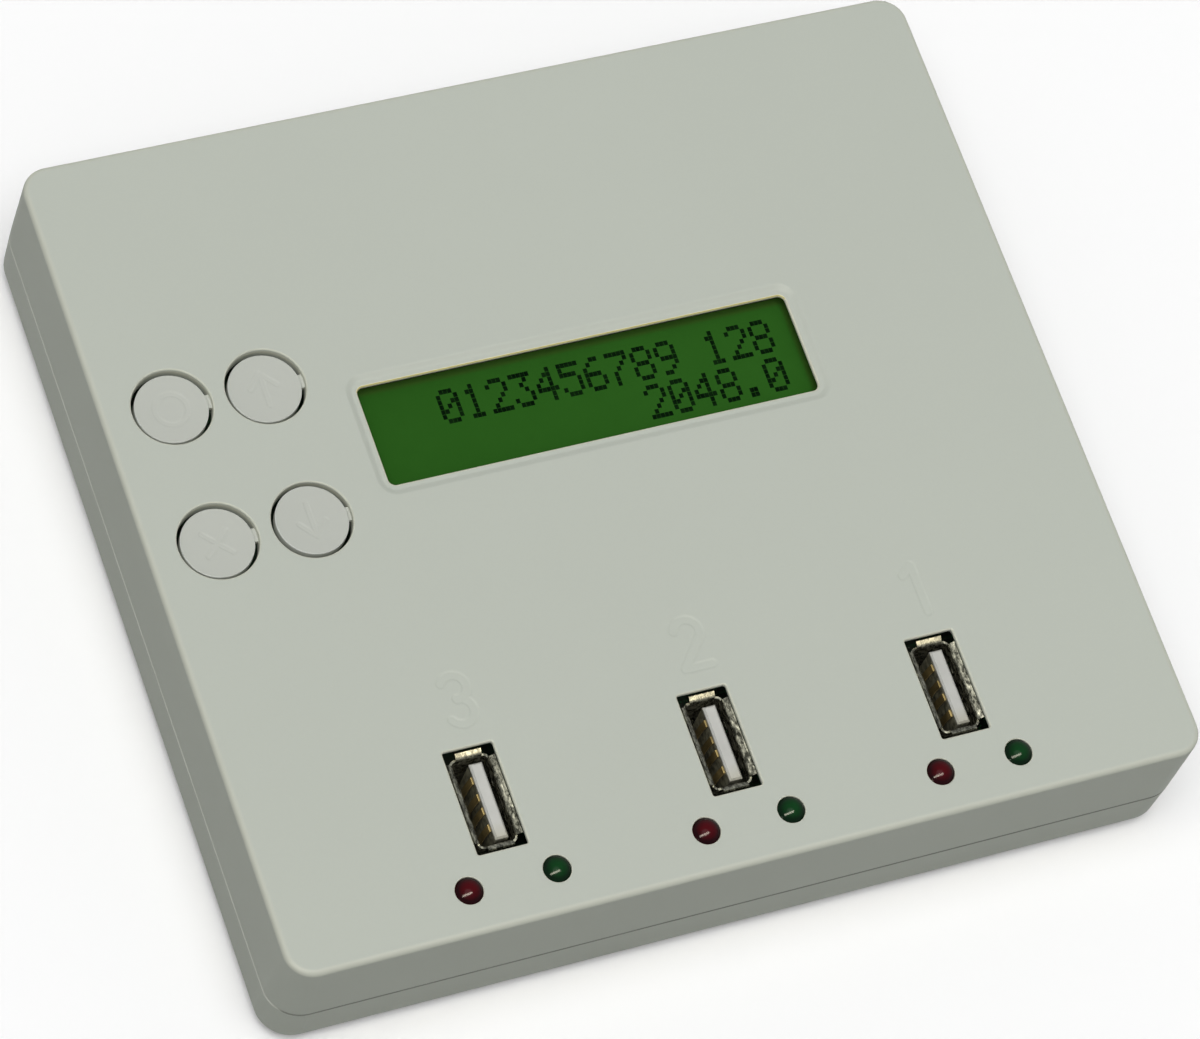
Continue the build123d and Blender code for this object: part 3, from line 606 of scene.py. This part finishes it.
def arc(centre_out, centre_z, radius, start, end, steps, painted_light=0.0):
    """Profile points on an arc from one angle to the other, in degrees from the outward direction. The
    painted light is greatest where the arc slopes at half a right angle, and falls off as the sine of twice
    the angle."""
    angle = np.radians(np.linspace(start, end, steps + 1))
    arc_light = painted_light * np.abs(np.sin(2 * angle))
    return np.stack([centre_out + radius * np.cos(angle), centre_z + radius * np.sin(angle), arc_light], 1)


def straight(*points):
    """Profile points joined by straight runs, with no painted light."""
    return np.pad(np.array(points, float), ((0, 0), (0, 1)))


def within(points, ring):
    """Whether each point is inside a ring, by the number of its edges that a ray to the right crosses."""
    x, y = points[:, 0, None], points[:, 1, None]
    x0, y0 = ring[None, :, 0], ring[None, :, 1]
    x1, y1 = np.roll(x0, -1), np.roll(y0, -1)
    spans = (y0 > y) != (y1 > y)
    crossing = x0 + (y - y0) / np.where(y1 == y0, 1, y1 - y0) * (x1 - x0)
    return (spans & (x < crossing)).sum(1) % 2 == 1


def flat(outer, holes, up=True):
    """The flat region between an outer ring and its holes: constrained Delaunay triangles, kept where their
    middle is inside the one and outside the others. Returns points in the plane and faces."""
    rings = [outer, *holes]
    here = np.arange(sum(len(ring) for ring in rings))
    runs = np.split(here, np.cumsum([len(ring) for ring in rings])[:-1])
    edges = np.stack([here, np.concatenate([np.roll(run, -1) for run in runs])], 1).tolist()
    plan = [Vector(point) for point in np.concatenate(rings).tolist()]
    all_faces, same_point = 0, 1e-5
    found = delaunay_2d_cdt(plan, edges, [], all_faces, same_point)
    points = np.array([tuple(point) for point in found[0]])
    faces = np.array(found[2])
    middle = points[faces].mean(1)
    keep = within(middle, outer)
    for hole in holes:
        keep &= ~within(middle, hole)
    faces = faces[keep]
    a, b, c = (points[faces[:, k]] for k in range(3))
    turn = (b[:, 0] - a[:, 0]) * (c[:, 1] - a[:, 1]) - (b[:, 1] - a[:, 1]) * (c[:, 0] - a[:, 0])
    faces = np.where(((turn > 0) == up)[:, None], faces, faces[:, ::-1])
    return points, faces


def level(region, z):
    """A flat region laid at the height z."""
    return np.c_[region[0], np.full(len(region[0]), z)], region[1]


def shifted(loop, out):
    """A loop moved out along its normals, as plain x and y."""
    return loop[:, :2] + loop[:, 2:] * out


def from_strokes(x, y, strokes):
    """Distance from each point to the nearest segment of the strokes, each a row of joined points."""
    nearest = np.full(x.shape, np.inf)
    for stroke in strokes:
        for (ax, ay), (bx, by) in zip(stroke[:-1], stroke[1:]):
            span = (bx - ax) ** 2 + (by - ay) ** 2
            along = np.clip(((x - ax) * (bx - ax) + (y - ay) * (by - ay)) / span, 0, 1)
            nearest = np.minimum(nearest, np.hypot(x - ax - along * (bx - ax), y - ay - along * (by - ay)))
    return nearest


def sunk(distance, width, slant, depth):
    """How deep a stroke lies: full depth along its middle, then a smooth step up over its slanted side."""
    share = np.clip((width / 2 + slant / 2 - distance) / slant, 0, 1)
    return depth * share * share * (3 - 2 * share)


def bow(x, y, radius, start, end, steps=20):
    """Points along an arc for a stroke, angles in degrees."""
    angle = np.radians(np.linspace(start, end, steps + 1))
    return np.stack([x + radius * np.cos(angle), y + radius * np.sin(angle)], 1).tolist()


# The socket numbers, drawn about the middle of each figure, from the right-hand socket to the left.
one = [[(-1.3, 2.35), (0.35, 3.6), (0.35, -3.55)]]
two = [bow(0, 1.7, 1.85, 165, -38) + [(-1.95, -3.5), (2.0, -3.5)]]
three = [bow(0, 1.75, 1.8, 150, -90) + bow(-0.1, -1.75, 1.85, 90, -150)]
numeral_right, numeral_y, numeral_half_x, numeral_half_y = 1.0, -28.7, 3.3, 4.8


def numeral_patch(socket_x, strokes):
    """A grid over one numeral, each point let down by the depth of the stroke there. Returns the grid, and
    in x and y the rim of the hole that it fills in the top."""
    x0, y0 = socket_x + numeral_right, numeral_y
    u = np.linspace(-numeral_half_x, numeral_half_x, 61)
    v = np.linspace(-numeral_half_y, numeral_half_y, 89)
    u, v = np.meshgrid(u, v, indexing="ij")
    z = top - sunk(from_strokes(u, v, strokes), width=1.25, slant=0.35, depth=0.09)
    points = np.stack([u + x0, v + y0, z], -1).reshape(-1, 3)
    index = np.arange(u.size).reshape(u.shape)
    faces = np.stack([index[:-1, :-1], index[1:, :-1], index[1:, 1:], index[:-1, 1:]], -1).reshape(-1, 4)
    edge = np.concatenate([index[:-1, 0], index[-1, :-1], index[:0:-1, -1], index[0, :0:-1]])
    return (points, faces), points[edge][:, :2]


nose_x, nose_z, nose_r, nose_frame, nose_steps = 38.2, 15.1, 4.45, 6.0, 48
corner_r, corner_closes, corner_steps = 5.0, 0.6, 14


def outline(z):
    """The wall's outline for the height z, before the draft: its corners close evenly from the joint to the
    top. Two points on the back wall frame the stretch round the nose of the power inlet."""
    radius = corner_r - corner_closes * min(max((z - parting) / (top - parting), 0), 1)
    ring = rounded(0, 0, half_wide, half_deep, radius, corner_steps)
    nose_span = np.array([[nose_x + nose_frame, half_deep, 0, 1], [nose_x - nose_frame, half_deep, 0, 1]])
    return np.concatenate([ring[:corner_steps + 1], nose_span, ring[corner_steps + 1:]])


# The wall in section: down inside to the lap over the tray's lip, out to the joint's narrow groove, and up
# outside to the soft edge of the top. Distances out are from the case's outline at the joint.
wall, edge_r = 2.2, 0.9
lap_out, lap_high, lip_out = -1.2, 1.5, -0.5
lap_z = parting + lap_high
inner_foot, inner_head = -wall - slope * lap_high, -wall - slope * (ceiling - parting)
edge_out = -slope * (top - edge_r - parting) - edge_r / cos(radians(draft))
# The soft top edge carries a faint painted highlight.
outer_edge = arc(edge_out, top - edge_r, edge_r, draft, 90, 10, painted_light=0.2)
foot_out, wall_foot, wall_head = -slope * 0.25, parting + 0.24, outer_edge[0, 1]
bevel_out, bevel_z = 0.03, 0.02
wall_profile = np.concatenate([straight(
    (inner_head, ceiling), (inner_foot, lap_z), (lap_out, lap_z), (lap_out, parting), (lip_out, parting),
    (lip_out, wall_foot - bevel_z), (foot_out - bevel_out, wall_foot - bevel_z), (foot_out, wall_foot)),
    outer_edge])
wall_points, wall_faces = carried(np.stack([outline(z) for z in wall_profile[:, 1]], 1), wall_profile)

# The inner and the outer face of the wall are left open between the two points behind the nose of the inlet.
around, along = np.divmod(wall_faces[:, 0], len(wall_profile))
inner_face, outer_face = 0, len(wall_profile) - len(outer_edge) - 1
behind_nose = (around == corner_steps + 1) & np.isin(along, (inner_face, outer_face))
wall_faces = wall_faces[~behind_nose]


def back_patch(out_low, out_high, z_low, z_high, up):
    """The flat stretch of the back wall round the nose of the power inlet, cut in x and z, then leaned by the
    draft. Returns it, and the ring of the hole in it."""
    left, right = nose_x - nose_frame, nose_x + nose_frame
    stretch_ring = np.array([(left, z_low), (right, z_low), (right, z_high), (left, z_high)])
    hole = circle(nose_x, nose_z, nose_r, nose_steps)[:, :2]
    plane, faces = flat(stretch_ring, [hole], up)
    lean, hole_lean = (out_low + (out_high - out_low) * (points[:, 1] - z_low) / (z_high - z_low)
                       for points in (plane, hole))
    patch = np.c_[plane[:, 0], half_deep + lean, plane[:, 1]], faces
    return patch, np.c_[hole[:, 0], half_deep + hole_lean, hole[:, 1]]


outer_patch, outer_ring = back_patch(foot_out, outer_edge[0, 0], wall_foot, wall_head, False)
inner_patch, inner_ring = back_patch(inner_foot, inner_head, lap_z, ceiling, True)
i = np.arange(nose_steps)
k = (i + 1) % nose_steps
nose_wall = np.concatenate([outer_ring, inner_ring]), np.stack([i, k, k + nose_steps, i + nose_steps], 1)


def hole_rim(radius, steps, painted_light):
    """The rounded rim of a hole: a quarter turn from the flat of the top to the hole's own wall."""
    return arc(radius, top - radius, radius, 90, 180, steps, painted_light)


# The window has a shallow frame that slopes in to a rounded sill, and opens out again below the sill.
frame_out, frame_wide, frame_deep = 1.85, 1.2, 0.45
sill_r, sill_z, sill_lit_z, sill_foot, opening_out = 0.3, top - 0.75, top - 0.86, top - 0.9, 1.2
step = np.linspace(0, 1, 13)
window_loop = rounded(window_x, window_y, half_x=32.0, half_y=7.6, radius=1.0, steps=8)
# The sill's arc is painted paler as a painted highlight, and further round a painted yellow glow lights its
# shaded wall.
window_profile = np.concatenate([
    np.c_[frame_out - frame_wide * step, top - frame_deep * step ** 2 * (3 - 2 * step), 0 * step],
    arc(sill_r, sill_z, sill_r, 90, 105, 3, painted_light=0.6), arc(sill_r, sill_z, sill_r, 120, 180, 6, painted_light=2.0),
    [[0.0, sill_lit_z, 2.0]],
    straight((0.0, sill_foot), (opening_out, sill_foot), (opening_out, ceiling))])
# Button holes, socket cut-outs and LED holes carry a painted highlight on their rims, the button holes down
# their walls.
slot_lit_z, slot_plain_z = top - 0.7, top - 1.4
button_profile = np.concatenate([
    hole_rim(0.25, steps=7, painted_light=0.3), [[0.0, slot_lit_z, 0.5]],
    straight((0.0, slot_plain_z), (0.0, ceiling))])
socket_foot, socket_out = top - 0.55, 0.8
socket_profile = np.concatenate([
    hole_rim(0.3, steps=8, painted_light=0.35),
    straight((0.0, socket_foot), (socket_out, socket_foot), (socket_out, ceiling))])
led_profile = np.concatenate([hole_rim(0.12, steps=4, painted_light=0.5), straight((0.0, ceiling))])
button_hole_r, socket_half_x, socket_half_y, socket_corner_r, led_hole_r = 5.62, 3.6, 7.55, 0.3, 1.95
holes = [(window_loop, window_profile)]
holes += [(circle(x, y, button_hole_r, 96), button_profile) for x, y in button_places.values()]
holes += [(rounded(x, sockets_y, socket_half_x, socket_half_y, socket_corner_r, 4), socket_profile)
          for x in sockets_x]
holes += [(circle(x, leds_y, led_hole_r, 48), led_profile) for x in (*red_x, *green_x)]
hole_walls = [carried(loop, profile) for loop, profile in holes]

# Only the far side of the window's sill keeps its painted yellow glow; the near side keeps the painted
# highlight.
window_points = hole_walls[0][0]
far_side, near_light_cap = window_y + 6.9, 0.6
near_side = window_points[:, 1] < far_side
window_points[near_side, 3] = np.minimum(window_points[near_side, 3], near_light_cap)

patches = [numeral_patch(x, strokes) for x, strokes in zip(reversed(sockets_x), (one, two, three))]
top_holes = [shifted(loop, profile[0][0]) for loop, profile in holes] + [ring for _, ring in patches]
shell_parts = [(wall_points, wall_faces), outer_patch, inner_patch, nose_wall, *hole_walls]
shell_parts += [patch for patch, _ in patches]
shell_parts.append(level(flat(shifted(outline(top), edge_out), top_holes), top))

# The corner bosses take the case screws, the four inner ones hold the display, and ribs keep it in line.
# Each boss: its loop, its radius, its bore's radius, its foot, and the height where the bore ends.
boss_x, boss_y, boss_r = 60.0, 54.5, 3.2
display_mid_x, display_mid_y, inner_boss_x, inner_boss_y, inner_boss_r = 0.8, 11.0, 37.5, 15.5, 2.5
quarters = [(x, y) for x in (-1, 1) for y in (-1, 1)]
bosses = [(circle(x * boss_x, y * boss_y, boss_r, 40), boss_r, 1.5, 8.5, 17.15) for x, y in quarters]
bosses += [(circle(display_mid_x + x * inner_boss_x, display_mid_y + y * inner_boss_y, inner_boss_r, 32),
            inner_boss_r, 1.2, 13.6, 19.25) for x, y in quarters]
for loop, radius, bore, foot, bore_end in bosses:
    profile = straight((-radius, bore_end), (bore - radius, bore_end), (bore - radius, foot), (0, foot),
                       (0, ceiling))
    shell_parts.append(carried(loop, profile))
ceiling_holes = [shifted(loop, profile[-1][0]) for loop, profile in holes]
ceiling_holes += [shifted(loop, 0) for loop, *_ in bosses]
shell_parts.append(level(flat(shifted(outline(ceiling), inner_head), ceiling_holes, False), ceiling))


def bar(x0, x1, y0, y1, z0, z1):
    """A plain rib: eight corners and six outward faces."""
    x, y, z = np.meshgrid((x0, x1), (y0, y1), (z0, z1), indexing="ij")
    faces = [[0, 1, 3, 2], [4, 6, 7, 5], [0, 4, 5, 1], [2, 3, 7, 6], [0, 2, 6, 4], [1, 5, 7, 3]]
    return np.stack([x, y, z], -1).reshape(-1, 3), np.array(faces)


def limits(middle, side, near_and_far):
    """The two limits of a rib that lies on one side of a middle, in rising order."""
    return sorted(middle + side * distance for distance in near_and_far)


rib_foot, rib_head, web_foot, web_half = ceiling - 3.0, ceiling + 0.2, 11.1, 0.6
for side in (-1, 1):
    rib_x = limits(display_mid_x, side, (35.8, 37.0))
    shell_parts.append(bar(*rib_x, -1.1, 23.1, rib_foot, rib_head))
    rib_y = limits(display_mid_y, side, (12.3, 13.5))
    shell_parts.append(bar(-19.2, 20.8, *rib_y, rib_foot, rib_head))
    for far in (-1, 1):
        web_x, web_y = limits(0, side, (63.0, 65.7)), limits(0, far, (57.5, 60.2))
        mid_x, mid_y = side * boss_x, far * boss_y
        shell_parts.append(bar(*web_x, mid_y - web_half, mid_y + web_half, web_foot, rib_head))
        shell_parts.append(bar(mid_x - web_half, mid_x + web_half, *web_y, web_foot, rib_head))

upper = piece("upper_shell", shell_parts, case_plastic, "case", crease=32.0)
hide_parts("upper_case")

# Lenses of the LEDs
# Each is cast in one: a flange, a straight body and a dome, set so that the dome fills its hole in the top.
lens_base, lens_r, flange_r, flange_high, lens_top, dome_r = 18.9, 1.9, 2.2, 1.0, 24.2, 2.16
chamfer, fillet, shoulder_r, shoulder_z = 0.1, 0.05, 0.25, 23.05
lens_profile = np.concatenate([
    straight((0, lens_base), (flange_r - chamfer, lens_base), (flange_r, lens_base + chamfer),
             (flange_r, lens_base + (flange_high - chamfer)), (flange_r - chamfer, lens_base + flange_high),
             (lens_r + fillet, lens_base + flange_high), (lens_r, lens_base + (flange_high + fillet))),
    arc(lens_r - shoulder_r, shoulder_z, shoulder_r, 0, 55, 6),
    arc(0, lens_top - dome_r, dome_r, 36, 90, 14)])
for colour, material, places in (("red", led_red, red_x), ("green", led_green, green_x)):
    for number, x in zip("321", places):
        middle = circle(x, leds_y, 1.0, 48)
        middle[:, :2] = (x, leds_y)
        lens_piece = piece(f"lens_{colour}_{number}", [carried(middle, lens_profile)], material, "case")
        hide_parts(f"led_{colour}_{number}")

# Buttons
# Each is a dished disc moulded with the top, cut free by a C-shaped slot but for a thin bridge on its right,
# which bends. A post under the disc reaches the switch. The sign on each disc is pressed in by 0.06 mm.
# The edge colour is the painted highlight on the discs' rims.
button_finish = moulded(tint(184, 187, 179), edge=tint(200, 203, 200), shade=0.03, grain=0.00001)
button_plastic = finish("button_plastic", button_finish, Specular_IOR_Level=0.06)
signs = {
    "back_left": [bow(0, 0, 2.3, 0, 360, 48)],
    "back_right": [[(-1.9, 0.3), (0, 2.4), (1.9, 0.3)], [(0, 2.2), (0, -2.5)]],
    "front_left": [[(-1.7, -1.7), (1.7, 1.7)], [(-1.7, 1.7), (1.7, -1.7)]],
    "front_right": [[(-1.9, -0.3), (0, -2.4), (1.9, -0.3)], [(0, -2.2), (0, 2.5)]],
}
disc_r, disc_top, disc_low, disc_rim, disc_dish = 5.12, top - 0.69, top - 2.5, 0.14, 0.16
post_r, post_tip, foot_bevel, sign_reach = 1.3, 18.2, 0.15, disc_r - 0.6


def button_disc(x, y, strokes):
    """A profile turned about the upright axis, from the post's tip round the disc to its middle. Its face
    sinks as the square of the radius, and by the depth of the sign's strokes."""
    # The disc's rim carries a painted highlight.
    rim = arc(disc_r - disc_rim, disc_top - disc_rim, disc_rim, 0, 90, 6, painted_light=0.6)
    radii = np.linspace(disc_r - disc_rim, 0, 60)[1:]
    dish = disc_top - disc_dish * (1 - (radii / (disc_r - disc_rim)) ** 2)
    skirt = straight(
        (0, post_tip), (post_r - foot_bevel, post_tip), (post_r, post_tip + foot_bevel), (post_r, disc_low),
        (disc_r - foot_bevel, disc_low), (disc_r, disc_low + foot_bevel))
    turn = circle(0, 0, 1.0, 180)
    turn[:, :2] = 0
    points, faces = carried(turn, np.concatenate([skirt, rim, np.c_[radii, dish, 0 * radii]]))
    on_face = points[:, 2] > disc_top - disc_dish - 0.01
    inside = np.hypot(points[:, 0], points[:, 1]) < sign_reach
    sink = sunk(from_strokes(points[:, 0], points[:, 1], strokes), width=0.75, slant=0.38, depth=0.062)
    points[:, 2] -= np.where(on_face & inside, sink, 0)
    return points + [x, y, 0, 0], faces


bridge_start, bridge_long, bridge_half_wide = 5.0, 0.72, 1.0
bridge_down, bridge_half_high, bridge_waist = 0.05, 0.4, 0.1


def bridge(x, y):
    """The thin web: a flat strip's section in x and z, waisted in the middle where it bends, run along y."""
    s = np.linspace(0, 1, 9)
    half_high = bridge_half_high - bridge_waist * np.sin(np.pi * s)
    mid_z = disc_top - bridge_down - bridge_half_high
    run = x + bridge_start + s * bridge_long
    section = np.concatenate([np.c_[run, mid_z + half_high], np.c_[run[::-1], (mid_z - half_high)[::-1]]])
    n = len(section)
    across = y + np.array([-bridge_half_wide, bridge_half_wide])
    points = np.concatenate([np.c_[section[:, 0], np.full(n, v), section[:, 1]] for v in across])
    i = np.arange(n)
    k = (i + 1) % n
    sides = np.stack([i, i + n, k + n, k], 1)
    pairs = np.arange(len(s) - 1)
    low_cap = np.stack([pairs, pairs + 1, n - 2 - pairs, n - 1 - pairs], 1)
    return points, np.concatenate([sides, low_cap, low_cap[:, ::-1] + n])


# The front right disc has set a little proud and stands higher the further it is from its bridge.
proud, proud_slope, hinge_case_x, hinge_disc_x = 0.22, 0.06, 5.6, 5.1
for place, (x, y) in button_places.items():
    points, faces = button_disc(x, y, signs[place])
    if place == "front_right":
        lift = proud + proud_slope * (x + hinge_disc_x - points[:, 0])
        points[:, 2] += lift * (points[:, 2] > disc_low - 0.01)
    disc = piece("button_disc_" + place, [(points, faces), bridge(x, y)], button_plastic)
    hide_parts("button_" + place)
    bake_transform(disc)

# Screws
# Zinc-plated pan-head screws: four long ones from below through the posts, short ones for the boards.
zinc = rolled_metal(tint(150, 154, 158), tint(206, 208, 210), rough=0.25, stain=0.25)
dress(finish("zinc_steel", zinc, Metallic=1.0), "case_screws", "board_screws", "display_screws")

# Stand, light and camera
# A pale floor, one wide soft sun a little left of overhead, an even pale sky, a warm tube that only glosses
# reflect, and the photograph's viewpoint.
floor_reach, white = 3.0, (1.0, 1.0, 1.0, 1.0)
floor_corners = [(-floor_reach, -floor_reach, 0), (floor_reach, -floor_reach, 0),
                 (floor_reach, floor_reach, 0), (-floor_reach, floor_reach, 0)]
floor_mesh = bpy.data.meshes.new("floor")
floor_mesh.from_pydata(floor_corners, [], [(0, 1, 2, 3)])
floor = placed("floor", floor_mesh)


def seen(start):
    """1 for rays from the camera, from a gloss or through glass, 0 for the light that falls on things."""
    camera_ray, glossy_ray, clear_ray = (start.node("LightPath", output=kind) for kind in (
        "Is Camera Ray", "Is Glossy Ray", "Is Transmission Ray"))
    return start.math("MINIMUM", camera_ray + glossy_ray + clear_ray, 1.0)


paper = bpy.data.materials.new("paper")
ground = blank(paper)
matte = ground.node("BsdfDiffuse", None, {"Color": between(seen(ground), tint(140, 140, 138), white)})
ground.node("OutputMaterial", None, {"Surface": matte})
floor_mesh.materials.append(paper)

world = bpy.data.worlds.new("sky")
bpy.context.scene.world = world
sky = blank(world)
glow = between(seen(sky), (0.36, 0.36, 0.36, 1.0), white)
sky.node("OutputWorld", None, {"Surface": sky.node("Background", None, {"Color": glow, "Strength": 1.0})})

sun = bpy.data.lights.new("soft_box", "SUN")
sun.energy = 2.0
sun.angle = radians(50)
sun_object = placed("soft_box", sun)
sun_object.rotation_euler = (radians(7), radians(-9), 0)

# The tube hangs over the front: neither the camera nor matt surfaces see it.
tube = bpy.data.lights.new("tube", "AREA")
tube.shape = "RECTANGLE"
tube.size = 1.8
tube.size_y = 0.26
tube.color = (1.0, 0.93, 0.78)
tube.energy = 123.0
tube_away = 1.2
towards = Vector((-0.327, -0.354, 0.876)).normalized()
length = Vector((0.98, 0.18, 0.0))
length = (length - towards * length.dot(towards)).normalized()
tube_object = placed("tube", tube)
tube_object.rotation_euler = Matrix((length, towards.cross(length), towards)).transposed().to_euler()
tube_object.location = towards * tube_away
tube_object.visible_diffuse = False
tube_object.visible_camera = False

lens = bpy.data.cameras.new("camera")
lens.lens = 169.07
lens.sensor_width = 36.0
lens.sensor_fit = "HORIZONTAL"
lens.clip_start = 0.05
camera = placed("camera", lens)
camera.location = (-0.25564, -0.27949, 0.69500)
camera.rotation_euler = (radians(26.3124), radians(-12.1958), radians(-19.6235))
bpy.context.scene.camera = camera
bpy.context.scene.view_settings.view_transform = "Standard"


def plain(box):
    return [[float(c) for c in corner] for corner in box]
